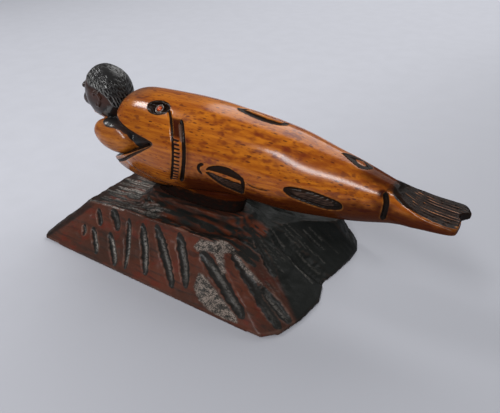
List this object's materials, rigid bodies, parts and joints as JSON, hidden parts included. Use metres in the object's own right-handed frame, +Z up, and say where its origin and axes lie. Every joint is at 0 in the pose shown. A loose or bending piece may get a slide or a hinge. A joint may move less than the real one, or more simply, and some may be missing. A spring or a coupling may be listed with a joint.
{
  "type": "whale carving",
  "caption": "Carved and varnished wooden whale with a man in its open mouth, standing by its throat on a rough-hewn rock plinth.",
  "frame": {"origin": "middle of the plinth's flat underside", "axes": "+X from the whale's head to its tail, -Y the near side with the front face of the plinth, +Z up"},
  "size_m": [0.159, 0.063, 0.0683],
  "materials": {
    "amber_varnish": "glossy honey amber varnish over beech with dark ray flecks, cuts blackened",
    "dark_stain": "worn red-brown stain, nearly black in the gouge cuts and on the right end",
    "figure_stain": "black-brown stained head and hair, honey varnish on the shoulders",
    "bone": "polished pale bone",
    "red_wax": "glossy red sealing wax",
    "bare_beech": "bare turned beech"
  },
  "bodies": {
    "root": {"plinth": "dark_stain", "whale_body": "amber_varnish", "swallowed_man": "figure_stain", "waist_peg": "bare_beech", "throat_dowel_front": "bare_beech", "throat_dowel_rear": "bare_beech", "eye_ring_near": "bone", "eye_pupil_near": "red_wax", "eye_ring_far": "bone", "eye_pupil_far": "red_wax"}
  },
  "joints": []
}
